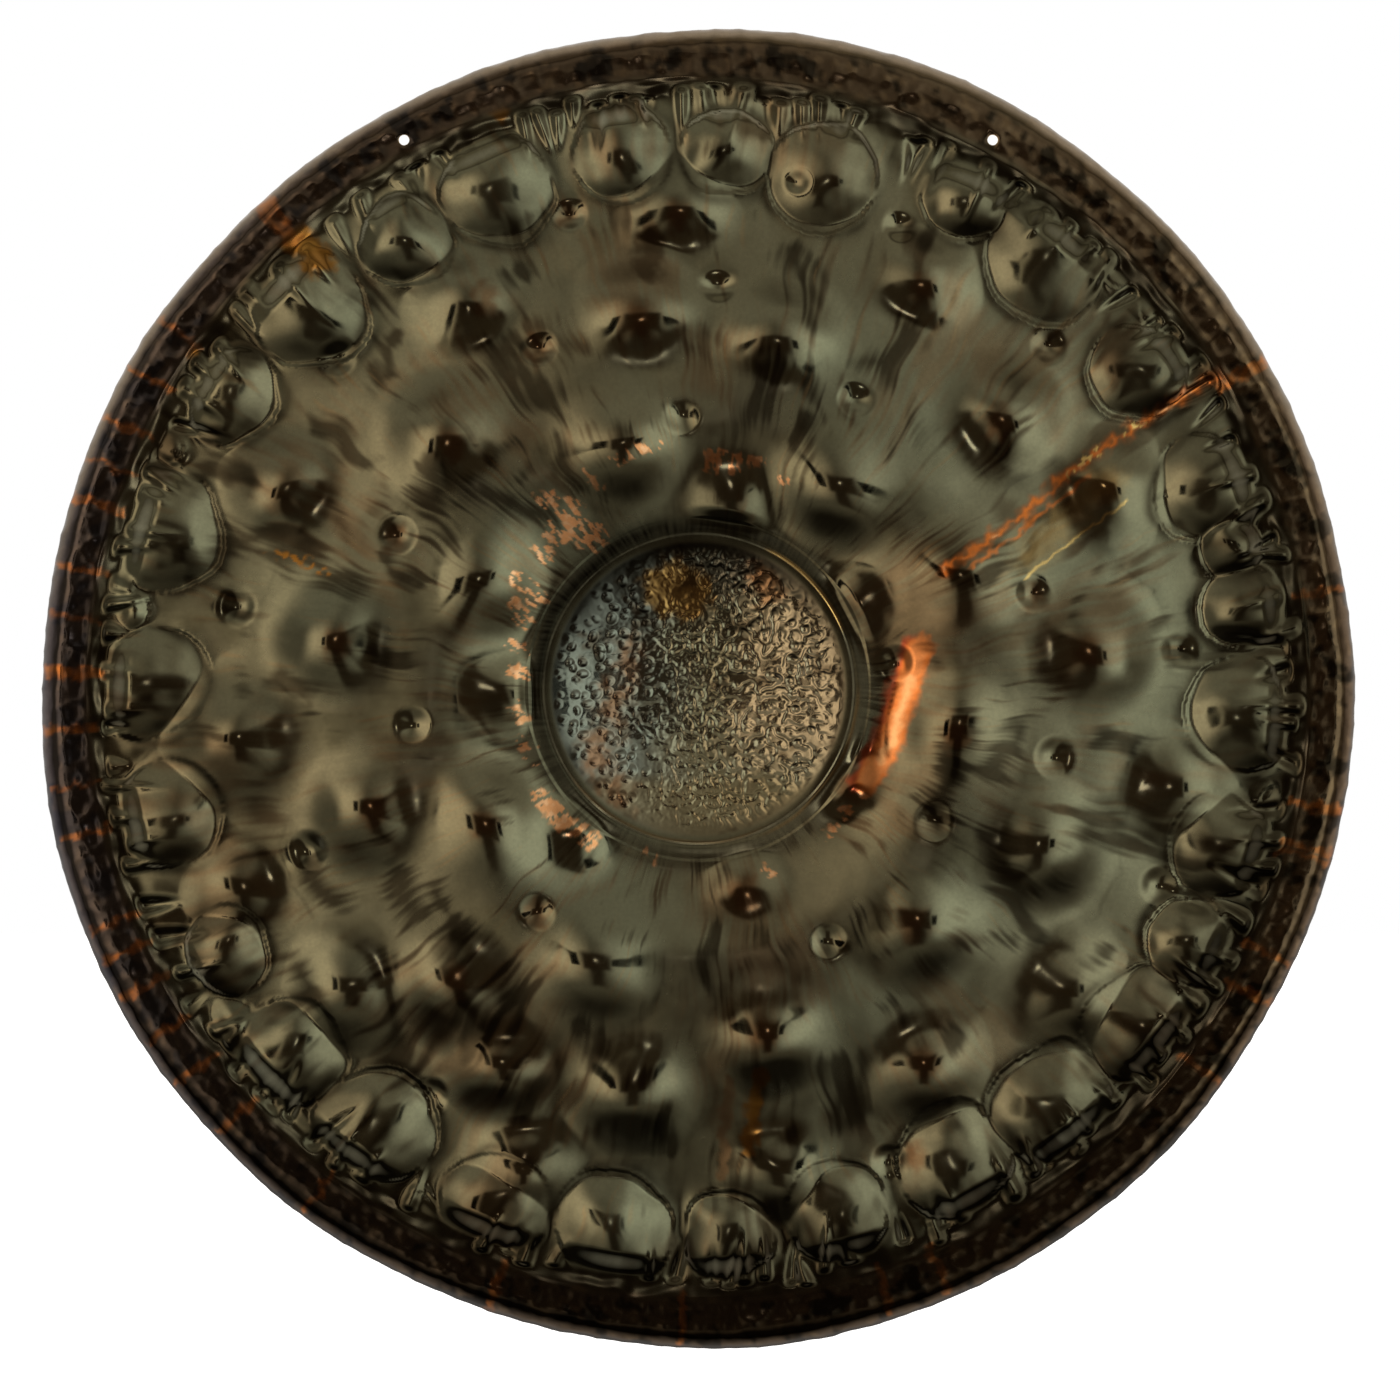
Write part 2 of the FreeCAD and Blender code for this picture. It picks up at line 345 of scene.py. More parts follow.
# the band's rings stand one square cell apart, so that a cord hole can be let into them
hole_r = math.hypot(HOLE_X, HOLE_Z)
CELL = 2 * math.pi * hole_r / N_RIM
BAND_RADII = [hole_r + k * CELL for k in range(-3, 6)]
th = angles(N_RIM)
wobble = outline(th)

# the face, from the middle out
front_sizes = []
r = 0.0
while r < BAND_INNER_RADIUS - 0.6:
    r += 0.72 if r < 92 else (0.9 if r < 150 else 1.3)
    at_r = min(r, BAND_INNER_RADIUS)
    front_sizes.append((at_r, ring_size(at_r, N_RIM, 0.42 if at_r < 92 else 0.6)))
face_rings(front_sizes, BAND_Y, 0)

# the band, the shoulder and the flank: (radius, y, radial part of the normal, distance along the section)
section = [(r, BAND_Y, 0.0, r - BAND_INNER_RADIUS) for r in [BAND_INNER_RADIUS + 0.25] + BAND_RADII]
s = FLAT_END - BAND_INNER_RADIUS
for k in range(17):
    a = math.pi / 2 * k / 16
    r = FLAT_END + SHOULDER_RADIUS * math.sin(a)
    section.append((r, BAND_Y + SHOULDER_RADIUS * (1 - math.cos(a)), math.sin(a), s + SHOULDER_RADIUS * a))
s += SHOULDER_RADIUS * math.pi / 2
for k in range(1, 21):
    t = k / 20
    y = BAND_Y + SHOULDER_RADIUS + OUTER_FLANK * t
    section.append((OUTER_RADIUS - RIM_TAPER * t, y, 1.0, s + OUTER_FLANK * t))
s_end = s + OUTER_FLANK
hole_ring = len(rings) + 1 + 3      # the hole's own radius is the fourth of BAND_RADII
for r, y, normal, along in section:
    lift = rim_noise(th, np.full(N_RIM, along)) * ease(along, 0, 5)
    lift = lift * (1 - 0.6 * ease(along, s_end - 5, s_end))
    warp = wobble * ease(r, OUTLINE_START, OUTLINE_FULL) if normal < 0.999 else wobble
    forward = 0.6 * lift * math.sqrt(1 - normal ** 2) if normal < 0.5 else 0
    rim_ring(r + warp + normal * lift, y - forward, BAND_INNER_RADIUS + along, 0)

# the rim's narrow back edge; its last ring is the seam between the two texture maps
edge_y = BAND_Y + RIM_DEPTH
for inset, along in ((0.4, 36.2), (1.6, 37.4)):
    r = OUTER_RADIUS - RIM_TAPER - inset + wobble
    rim_ring(r, edge_y - 0.05, BAND_INNER_RADIUS + s + along, 0)
seam_ring = len(rings) - 1

# the inside of the rim, the back of the band and the back of the face
inside = []
for k in range(13):
    t = k / 12
    r = OUTER_RADIUS - RIM_TAPER - SHEET + RIM_TAPER * t
    inside.append((r, edge_y - EDGE_INSET - INNER_FLANK * t))
for k in range(1, 9):
    a = math.pi / 2 * (1 - k / 8)
    inner_bend = SHOULDER_RADIUS - SHEET
    inside.append((FLAT_END + inner_bend * math.sin(a), BAND_Y + SHOULDER_RADIUS - inner_bend * math.cos(a)))
for r, y in inside:
    rim_ring(r + wobble * ease(r, OUTLINE_START, OUTLINE_FULL), y, 0, 1)
for r in reversed(BAND_RADII[:-1]):
    if abs(r - hole_r) < 1e-6:
        back_hole = len(rings)
    rim_ring(r, BAND_Y + SHEET, 0, 1)
back_radii = [BAND_INNER_RADIUS - 3.0 * k for k in range(1, 125)]
face_rings([(r, ring_size(r, N_RIM // 2, 1.6)) for r in back_radii], BAND_Y + SHEET, 1)

# distance along the back section, for its share of the texture map
total = 0.0
rings[seam_ring]["back_uv"] = total
for a, b in zip(rings[seam_ring:-1], rings[seam_ring + 1:]):
    radial = math.hypot(a["x"][0], a["z"][0]) - math.hypot(b["x"][0], b["z"][0])
    total += math.hypot(radial, a["y"][0] - b["y"][0])
    b["back_uv"] = total
back_total = total + math.hypot(rings[-1]["x"][0], rings[-1]["z"][0])
front_total = rings[seam_ring]["uv"]

# all points in one list: the middle of the front, the rings in turn, and the middle of the back
starts = []
count = 1
for g in rings:
    starts.append(count)
    count += g["n"]
P = np.zeros((count + 1, 3))
P[0] = (0, BAND_Y - face_height(np.array([0.0]), np.array([0.0]))[0], 0)
P[count] = (0, P[0][1] + SHEET, 0)
UVF = np.zeros((count + 1, 2))
UVB = np.zeros((count + 1, 2))
ON_BACK = np.zeros(count + 1, bool)
for k, g in enumerate(rings):
    i = slice(starts[k], starts[k] + g["n"])
    P[i, 0], P[i, 1], P[i, 2] = g["x"], g["y"], g["z"]
    t = angles(g["n"])
    if k <= seam_ring:
        q = FRONT_MAP * g["uv"] / front_total
        UVF[i, 0] = FRONT_CENTRE[0] + q * np.cos(t)
        UVF[i, 1] = FRONT_CENTRE[1] + q * np.sin(t)
    if k >= seam_ring:
        q = BACK_MAP * (1 - g["back_uv"] / back_total)
        UVB[i, 0] = BACK_CENTRE[0] + q * np.cos(t)
        UVB[i, 1] = BACK_CENTRE[1] + q * np.sin(t)
    ON_BACK[i] = g["back"]
UVF[0] = FRONT_CENTRE
UVB[count] = BACK_CENTRE

HOLE_ANGLES = (math.atan2(HOLE_Z, HOLE_X), math.pi - math.atan2(HOLE_Z, HOLE_X))
HOLE_COLUMNS = [round(a / (2 * math.pi / N_RIM)) for a in HOLE_ANGLES]
quads, tris, quad_back, tri_back = [], [], [], []


def add_tris(tri, on_back):
    tris.append(tri)
    tri_back.append(np.full(len(tri), on_back))


def join(k):
    """Faces between ring k and the next, which has as many points, twice as many or half as many."""
    a, b = rings[k], rings[k + 1]
    A, B = starts[k], starts[k + 1]
    back = k >= seam_ring
    j = np.arange(min(a["n"], b["n"]))
    j1 = (j + 1) % len(j)
    f0, f1, f2 = 2 * j, 2 * j + 1, (2 * j + 2) % max(a["n"], b["n"])
    if a["n"] == b["n"]:
        q = np.stack([A + j, B + j, B + j1, A + j1], 1)
        for ring_id in (hole_ring, back_hole):
            if ring_id - 2 <= k < ring_id + 2:
                keep = np.ones(a["n"], bool)
                for c in HOLE_COLUMNS:
                    keep &= ~((j >= c - 2) & (j < c + 2))
                q = q[keep]
        quads.append(q)
        quad_back.append(np.full(len(q), back))
    elif b["n"] == 2 * a["n"]:
        corners = ((A + j, B + f0, B + f1), (A + j, B + f1, A + j1), (A + j1, B + f1, B + f2))
        add_tris(np.concatenate([np.stack(c, 1) for c in corners]), back)
    else:
        corners = ((A + f0, B + j, A + f1), (A + f1, B + j, B + j1), (A + f1, B + j1, A + f2))
        add_tris(np.concatenate([np.stack(c, 1) for c in corners]), back)


for k in range(len(rings) - 1):
    join(k)
j = np.arange(rings[0]["n"])
add_tris(np.stack([0 * j, starts[0] + j, starts[0] + (j + 1) % len(j)], 1), False)
j = np.arange(rings[-1]["n"])
add_tris(np.stack([starts[-1] + j, count + 0 * j, starts[-1] + (j + 1) % len(j)], 1), True)

# the two hanging holes: open the cells around each, pull the loop onto the bore and wall it through the sheet
LOOP = [(-2, -2), (-1, -2), (0, -2), (1, -2), (2, -2), (2, -1), (2, 0), (2, 1),
        (2, 2), (1, 2), (0, 2), (-1, 2), (-2, 2), (-2, 1), (-2, 0), (-2, -1)]
extra = []
hole_quads = []
for c, hx in zip(HOLE_COLUMNS, (HOLE_X, -HOLE_X)):
    front_ids = [starts[hole_ring + di] + (c + dj) % N_RIM for di, dj in LOOP]
    back_ids = [starts[back_hole - di] + (c + dj) % N_RIM for di, dj in LOOP]
    direction = np.array([[P[i, 0] - hx, P[i, 2] - HOLE_Z] for i in front_ids])
    direction /= np.linalg.norm(direction, axis=1)[:, None]
    for ids in (front_ids, back_ids):
        P[ids, 0] = hx + (HOLE_RADIUS + HOLE_FLARE) * direction[:, 0]
        P[ids, 2] = HOLE_Z + (HOLE_RADIUS + HOLE_FLARE) * direction[:, 1]
    loops = [front_ids]
    for depth in BORE_DEPTHS:
        first = count + 1 + len(extra)
        loops.append(range(first, first + len(LOOP)))
        extra += [(hx + HOLE_RADIUS * d[0], BAND_Y + depth, HOLE_Z + HOLE_RADIUS * d[1]) for d in direction]
    loops.append(back_ids)
    for a, b in zip(loops[:-1], loops[1:]):
        for k in range(len(LOOP)):
            m = (k + 1) % len(LOOP)
            hole_quads.append((a[k], a[m], b[m], b[k]))
P = np.concatenate([P, np.array(extra)])
hole_quads = np.array(hole_quads)

all_quads = np.concatenate(quads + [hole_quads])
all_tris = np.concatenate(tris)
used = np.unique(np.concatenate([all_quads.ravel(), all_tris.ravel()]))
remap = np.full(len(P), -1)
remap[used] = np.arange(len(used))
quad_is_back = np.concatenate(quad_back + [np.zeros(len(hole_quads), bool)])
tri_is_back = np.concatenate(tri_back)
pad = len(P) - len(UVF)
UVF = np.concatenate([UVF, np.zeros((pad, 2))])
UVB = np.concatenate([UVB, np.zeros((pad, 2))])

mesh = bpy.data.meshes.new("gong_sheet")
V = P[used] / 1000.0
loop_verts = np.concatenate([remap[all_quads].ravel(), remap[all_tris].ravel()])
tri_start = len(all_quads) * 4 + np.arange(len(all_tris)) * 3
loop_start = np.concatenate([np.arange(len(all_quads)) * 4, tri_start])
mesh.vertices.add(len(V))
mesh.vertices.foreach_set("co", V.astype(np.float32).ravel())
mesh.loops.add(len(loop_verts))
mesh.loops.foreach_set("vertex_index", loop_verts.astype(np.int32))
mesh.polygons.add(len(loop_start))
mesh.polygons.foreach_set("loop_start", loop_start.astype(np.int32))
mesh.update(calc_edges=True)
mesh.validate()
mesh.polygons.foreach_set("use_smooth", np.ones(len(mesh.polygons), bool))
uv = mesh.uv_layers.new(name="OFBake")
q_uv = np.where(quad_is_back[:, None, None], UVB[all_quads], UVF[all_quads])
# each piece of a hole's wall has a small cell of its own, outside both round maps
for k in range(len(hole_quads)):
    left, low = 0.02 + 0.006 * (k % 16), 0.02 + 0.02 * (k // 16 % 6)
    right, high = left + 0.005, low + 0.015
    q_uv[len(all_quads) - len(hole_quads) + k] = ((left, low), (right, low), (right, high), (left, high))
t_uv = np.where(tri_is_back[:, None, None], UVB[all_tris], UVF[all_tris])
uv.data.foreach_set("uv", np.concatenate([q_uv.reshape(-1), t_uv.reshape(-1)]).astype(np.float32))

# ---------------------------------------------------------------- patina, with painted shade and reflections, painted onto the sheet's points
X, Y, Z = (V * 1000).T
R = np.hypot(X, Z)
TH = np.arctan2(Z, X)
hole_part = used >= len(ON_BACK)
is_back = ON_BACK[np.minimum(used, len(ON_BACK) - 1)] & ~hole_part

# the streaks follow a radius and an angle that wander a little
wander_x = X + 5 * noise(X, Z, 30, 81)
wander_z = Z + 5 * noise(X, Z, 30, 82)
WTH = np.arctan2(wander_z, wander_x)
WR = np.hypot(wander_x, wander_z)


def streaks(across, along, seed):
    """Noise drawn out along the radius: `across` mm wide at 250 mm out, `along` mm long."""
    k = 2500.0 / across
    return noise(np.cos(WTH) * k + WR * 10 / along, np.sin(WTH) * k - WR * 10 / along, 10, seed)


def line_distance(points, x, z):
    """Distance of each x, z from the line through `points`, in mm."""
    best = np.full(x.shape, 1e9)
    for (x0, z0), (x1, z1) in zip(points[:-1], points[1:]):
        dx, dz = x1 - x0, z1 - z0
        t = np.clip(((x - x0) * dx + (z - z0) * dz) / (dx * dx + dz * dz + 1e-9), 0, 1)
        best = np.minimum(best, np.hypot(x - x0 - t * dx, z - z0 - t * dz))
    return best


def blend(colour, mask):
    """Mix a colour into the patina and painted light by `mask`, 0 to 1 at each point of the mesh."""
    i = np.nonzero(mask > 0.003)[0]
    m = np.clip(mask[i], 0, 1)[:, None]
    TINT[i] = TINT[i] * (1 - m) + np.array(colour)[None, :] * m


def stroke(points, width, soft, ragged=2.0, seed=50):
    """Mask of a line through `points` (mm), `width` wide, with ragged edges."""
    lo = np.min(points, 0) - width - soft - 12
    hi = np.max(points, 0) + width + soft + 12
    near = (X > lo[0]) & (X < hi[0]) & (Z > lo[1]) & (Z < hi[1]) & ~is_back
    x, z = X[near], Z[near]
    off_x = ragged * (noise(x, z, 9, seed) + 0.6 * noise(x, z, 4, seed + 1))
    off_z = ragged * (noise(x, z, 9, seed + 2) + 0.6 * noise(x, z, 4, seed + 3))
    x, z = x + off_x, z + off_z
    best = line_distance(points, x, z)
    out = np.zeros_like(X)
    out[near] = 1 - ease(best, width / 2 - soft, width / 2 + soft)
    return out


def smear(points, width, sharp=0.85):
    """A soft dark smear broken up into brush streaks that follow the radius."""
    lo, hi = np.min(points, 0) - width * 1.6, np.max(points, 0) + width * 1.6
    i = np.nonzero((X > lo[0]) & (X < hi[0]) & (Z > lo[1]) & (Z < hi[1]) & ~is_back)[0]
    x, z = X[i] + 10 * noise(X[i], Z[i], 26, 83), Z[i] + 10 * noise(X[i], Z[i], 26, 84)
    best = line_distance(points, x, z)
    out = np.zeros_like(X)
    value = 1.15 - best / (width * 0.85) + 0.40 * FINE[i] + 0.36 * MIDDLE[i] + 0.25 * FINEST[i]
    out[i] = ease(value, 0.15, 0.15 + sharp)
    return out


FINE = streaks(4.5, 75, 85)
MIDDLE = streaks(11, 60, 86)
FINEST = streaks(2.6, 45, 87)

# the patina's colours; SHADE is used for painted shade as well
OLIVE = (0.245, 0.228, 0.150)
GREEN = (0.228, 0.230, 0.158)
BROWN = (0.210, 0.140, 0.078)
UMBER = (0.075, 0.050, 0.028)
BLACK = (0.016, 0.014, 0.010)
COPPER = (0.900, 0.430, 0.200)
PEACH = (0.950, 0.560, 0.330)
ORANGE = (0.850, 0.240, 0.050)
GOLD = (0.900, 0.620, 0.230)
AMBER = (0.330, 0.150, 0.025)
NAVY = (0.030, 0.030, 0.045)
TAN = (0.420, 0.340, 0.240)
SHADE = (0.046, 0.038, 0.024)

TINT = np.tile(np.array(OLIVE), (len(V), 1))
field = ease(R, 98, 112) * (1 - ease(R, 366, 376))
blend(GREEN, 0.45 + 0.9 * noise(X, Z, 120, 61))
brush = 0.42 * FINE + 0.34 * MIDDLE + 0.22 * FINEST
blend(BROWN, ease(noise(X, Z, 85, 63) + streaks(30, 26, 62) * 0.5 + brush, -0.05, 0.85) * field * 0.6)
blend(UMBER, ease(noise(X, Z, 60, 65) + streaks(22, 24, 64) * 0.6 + brush, 0.42, 1.15) * field * 0.8)
blend(SHADE, ease(noise(X, Z, 44, 70) + streaks(24, 22, 69) * 0.5 + brush, 0.42, 1.05) * field * 0.9)
blend((0.30, 0.21, 0.11), ease(FINEST + 0.6 * noise(X, Z, 34, 74), 0.62, 0.9) * field * 0.35)

# dark smears laid over the field
for points, width in (
    (((-285, 92), (-262, 90), (-240, 78), (-218, 66)), 20), (((-185, -118), (-176, -140)), 17),
    (((-160, -128), (-150, -150), (-146, -165)), 15), (((-235, -112), (-222, -128)), 16),
    (((-146, -190), (-136, -212)), 15), (((-190, -208), (-176, -232)), 20),
    (((182, -98), (192, -125), (205, -150)), 17), (((240, -82), (268, -90), (300, -104)), 18),
    (((165, -20), (152, -50), (145, -75)), 15), (((110, 196), (118, 206), (125, 216)), 16),
    (((30, 165), (38, 180), (45, 196)), 15), (((80, -232), (92, -262)), 15), (((96, -236), (100, -258)), 12),
    (((-120, 212), (-104, 184), (-92, 172)), 16), (((-92, 150), (-80, 130), (-70, 118)), 10),
    (((-165, 130), (-158, 112)), 14), (((-140, 120), (-110, 112), (-96, 108)), 14),
    (((-236, 160), (-222, 152), (-206, 144)), 11), (((-192, 214), (-188, 196)), 8),
    (((-190, 80), (-178, 60)), 8), (((60, 250), (56, 268)), 12), (((-70, -205), (-64, -226)), 14),
    (((10, -150), (6, -176)), 10), (((-20, -262), (-22, -284)), 9), (((225, 120), (206, 104)), 10),
    (((60, 150), (66, 172)), 9), (((-262, 10), (-240, -6)), 12), (((-300, 130), (-282, 140)), 12),
    (((190, -30), (180, -52)), 13), (((-250, -170), (-236, -190)), 14), (((250, -30), (272, -36)), 9),
):
    blend(SHADE, smear(points, width * 1.15) * 0.88)

# painted shade in the creases round the bulges and on each bulge's lower right side, a painted dark
# reflection on the crowns of the domes, and darkening beside and under the band
# painted shade: a dark ring in the crease round the foot of each bulge
for mx, mz, a in BULGES:
    near = (np.abs(X - mx) < a + 12) & (np.abs(Z - mz) < a + 12)
    wander = 4 * noise(X[near], Z[near], 30, 162)
    d = np.hypot(X[near] - mx, Z[near] - mz) + wander
    mask = np.zeros(len(V))
    patchy = np.clip(0.55 + 0.6 * noise(X[near], Z[near], 22, 163), 0, 0.85)
    mask[near] = np.exp(-((d - a - 1) / 3.2) ** 2) * patchy
    blend(SHADE, mask * (1 - is_back))
# painted reflection: a dark patch on the crown of each dome
for mx, mz, a in DOMES:
    near = (np.abs(X - mx) < 26) & (np.abs(Z - mz) < 26)
    mask = np.zeros(len(V))
    mask[near] = np.exp(-(np.hypot(X[near] - mx, 1.25 * (Z[near] - mz)) / 13) ** 2) * 0.5
    blend((0.085, 0.055, 0.030), mask)
heat = ease(R + 16 * noise(X, Z, 60, 166) + 9 * FINE, 318, 368) * (1 - ease(R, 374, 378))
blend(SHADE, heat * np.clip(0.42 + 0.40 * np.cos(TH + 0.8), 0.05, 0.8))
# painted shade on the lower right side of each bulge
for mx, mz, a in BULGES:
    near = (np.abs(X - mx) < a + 12) & (np.abs(Z - mz) < a + 12)
    dx, dz = X[near] - mx - 0.42 * a, Z[near] - mz + 0.50 * a
    mask = np.zeros(len(V))
    patchy = np.clip(0.7 + 0.5 * noise(X[near], Z[near], 16, 167), 0, 0.95)
    mask[near] = np.exp(-(dx * dx + dz * dz) / (0.62 * a) ** 2) * patchy
    blend((0.050, 0.040, 0.024), mask * np.clip(1 + 0.5 * FINE, 0, 1) * (1 - is_back) * 0.8)
# darker along the step inside the band
rim_line = ease(R, 360, 366) * (1 - ease(R, 372, 378))
blend(SHADE, rim_line * (0.35 + 0.55 * ease(noise(X, Z, 24, 164) + 0.5 * FINE, -0.35, 0.35)))

# the heat-coloured leaf, streaks low on the plate and the coppery flecks round the cup
leaf = stroke(((-262, 84), (-242, 78), (-226, 70)), 7, 2, 3, 91)
blend(AMBER, leaf * ease(noise(X, Z, 5, 92), 0.0, 0.3) * 0.9)
blend(AMBER, stroke(((38, -235), (34, -258), (31, -282)), 9, 2, 3, 93) * 0.85)
blend(BROWN, stroke(((20, -240), (16, -270), (14, -300)), 7, 2, 3, 94) * 0.9)
blend(UMBER, stroke(((-30, 276), (-31, 258)), 16, 4, 4, 95) * 0.8)
# painted dark reflections in the middles of most domes and dents
for x0, z0, size in (
    (-130, 240, 15), (-98, 209, 14), (-82, 292, 10), (206, 59, 10), (-185, 95, 12), (130, -143, 16),
    (-35, 227, 15), (-13, 290, 14), (184, 163, 15), (94, -60, 12), (29, -126, 18), (-99, -137, 14),
    (-151, 151, 14), (137, 246, 13), (-221, 29, 14), (158, -26, 13), (-131, -82, 13), (-148, -177, 14),
    (41, -211, 15), (138, -229, 14), (-199, -75, 13), (249, 122, 13), (239, 23, 13), (133, -286, 12),
):
    blend((0.16, 0.085, 0.040), stroke(((x0, z0 + 2), (x0, z0 - 4)), size, 5, 3.5, 96) * 0.72)
fleck = streaks(8.5, 16, 97) + 0.6 * streaks(4.2, 9, 98) + 0.35 * noise(X, Z, 2.6, 98)
fleck = ease(fleck, -0.10, 0.12)
for points, width, amount in (
    (((-52, 139), (-40, 145), (-28, 148)), 7, 1.0), (((-68, 131), (-62, 125)), 6, 0.7),
    (((-92, 112), (-80, 108), (-64, 92)), 17, 1.0), (((-88, 96), (-72, 96)), 14, 1.0),
    (((-98, 86), (-92, 82)), 9, 0.9), (((-108, 66), (-98, 54)), 11, 1.0),
    (((-112, 51), (-106, 42)), 9, 1.0), (((-115, 28), (-108, 24)), 7, 1.0),
    (((-116, 13), (-107, 9)), 8, 1.0), (((6, 141), (20, 139)), 14, 1.0), (((27, 141), (40, 138)), 6, 0.9),
    (((52, 131), (55, 127)), 5, 0.7), (((-112, -13), (-107, -18)), 8, 0.8),
    (((-109, -34), (-101, -42)), 10, 0.9), (((-97, -66), (-84, -80), (-68, -92)), 12, 0.9),
    (((40, -112), (45, -114)), 5, 0.8), (((-32, -101), (-27, -105)), 7, 0.6),
    (((98, -64), (102, -67)), 6, 0.9), (((91, -74), (88, -80)), 7, 0.9), (((83, -86), (80, -90)), 6, 0.8),
):
    mask = stroke(points, width, 1.2, 3.2, 100) * fleck * amount
    blend(COPPER, mask)
    blend(PEACH, mask * ease(noise(X, Z, 4.0, 101), 0.05, 0.35) * 0.8)

# bright heat arc right of the cup, and the long orange seam out to the rim
arc = ((136, 26), (130, 6), (125, -10), (119, -30), (112, -43), (104, -56))
arc_inside = ((130, 24), (124, 4), (119, -12), (113, -30), (106, -44), (99, -56))
blend((0.55, 0.10, 0.045), stroke(arc_inside, 13, 3, 2.5, 110) * 0.85)
blend(ORANGE, stroke(arc, 15, 3, 2.5, 111) * 0.9)
blend((0.85, 0.33, 0.12), stroke(arc, 11, 2.5, 2.5, 112) * 0.9)
blend((1.0, 0.60, 0.30), stroke(arc[1:5], 4.5, 2, 2.0, 113) * 0.7)
seam = ((340, 203), (300, 182), (262, 157), (235, 138), (200, 108), (165, 82), (150, 72))
blend(UMBER, smear(seam, 15) * 0.6)
blend((0.40, 0.26, 0.10), stroke(((250, 128), (228, 106), (205, 84)), 18, 9, 4, 115) * 0.5)
gaps = 0.45 + 0.55 * ease(noise(X, Z, 14, 124) + 0.5 * noise(X, Z, 5, 125), -0.5, 0.1)
blend((0.50, 0.16, 0.045), stroke(seam, 6.5, 3.0, 3.4, 116) * 0.8 * gaps)
blend(ORANGE, stroke(seam, 2.8, 1.4, 3.4, 116) * 0.95 * gaps)
blend(ORANGE, stroke(((238, 131), (212, 108), (180, 84), (166, 74)), 2.6, 1.4, 2.6, 117) * 0.7 * gaps)
blend(COPPER, stroke(seam, 2.0, 1.0, 3.4, 116) * ease(noise(X, Z, 8, 118), 0.0, 0.4) * 0.9)
glint = ease(noise(X, Z, 3.5, 120), 0.0, 0.2)
blend(GOLD, stroke(((228, 131), (237, 140), (246, 146)), 4.2, 1, 2.5, 119) * glint)
blend(GOLD, stroke(((262, 156), (272, 164)), 3.6, 1, 2.5, 121) * glint)
blend(GOLD, stroke(((200, 68), (218, 82), (235, 95), (262, 115)), 1.3, 0.7, 1.2, 122) * 0.75)
for points, width, stain, amount in (
    (((-270, 300), (-252, 281), (-232, 262)), 19, AMBER, 0.9),
    (((-266, 296), (-240, 270)), 9, (0.42, 0.22, 0.05), 0.7),
    (((-125, 374), (-122, 356)), 12, AMBER, 0.8),
    (((-333, 218), (-312, 208)), 10, AMBER, 0.9),
):
    blend(stain, stroke(points, width, 3, 4, 123) * amount)

# cup
cup = 1 - ease(R, 88, 92)
blend((0.30, 0.275, 0.19), cup)
blend((0.22, 0.25, 0.23), cup * (1 - ease(X + 14 * noise(X, Z, 30, 66), -45, 5)) * 0.85)
# the cup's right side cream: partly the ridges' own colour, partly a painted reflection of the warm light
blend((0.46, 0.38, 0.26), cup * ease(X + 12 * noise(X, Z, 30, 66), 12, 40) * ease(Z, -70, -20) * 0.85)
blend((0.30, 0.25, 0.15), cup * (1 - ease(Z + 8 * noise(X, Z, 25, 67), -66, -48)) * 0.7)
blotch = 0.35 + 0.65 * ease(noise(X, Z, 12, 136) + 0.4 * noise(X, Z, 4, 137), -0.5, 0.3)
left_stain = stroke(((-40, 22), (-52, -8), (-62, -45), (-50, -66)), 19, 9, 6, 130)
blend((0.30, 0.16, 0.085), left_stain * cup * 0.8 * blotch)
blend((0.060, 0.064, 0.060), cup * ease(Z + 9 * noise(X, Z, 22, 138) - 0.25 * X, 34, 70) * 0.7)
blend((0.50, 0.30, 0.10), stroke(((-16, 62), (-8, 58)), 32, 5, 5, 131) * cup * 0.85)
blend((0.32, 0.15, 0.06), stroke(((38, 68), (44, 60)), 17, 5, 5, 132) * cup * 0.7)
blend(UMBER, cup * ease(noise(X, Z, 26, 133) + 0.5 * noise(X, Z, 7, 134), 0.35, 0.75) * 0.65)
blend(BLACK, cup * ease(R, 74, 91) * (0.5 + 0.5 * np.cos(TH - 1.9)) * 0.75)
# a darker ring just outside the cup, heaviest at the upper left
dark_ring_round_cup = np.exp(-((R - 100 - 3 * noise(X, Z, 30, 135)) / 7.5) ** 2)
blend(BLACK, dark_ring_round_cup * (0.52 + 0.42 * np.cos(TH - 2.3) + 0.2 * FINE))


def arc_line(radius, width, start, end, wander, seed):
    """A scribed line of the cup's edge between two angles, in degrees."""
    middle, half = math.radians((start + end) / 2), math.radians((end - start) / 2)
    off = np.abs((TH - middle + math.pi) % (2 * math.pi) - math.pi)
    line = np.exp(-((R - radius - wander * noise(X, Z, 30, seed)) / width) ** 2)
    return line * (1 - ease(off, half * 0.7, half))


blend(GOLD, arc_line(95.4, 0.9, 20, 66, 0.8, 140) * 0.9)
blend((0.40, 0.27, 0.12), arc_line(97.5, 0.9, -70, 5, 1.5, 141) * 0.6)
blend((0.40, 0.27, 0.12), arc_line(94.0, 0.8, -150, -60, 1.0, 142) * 0.5)

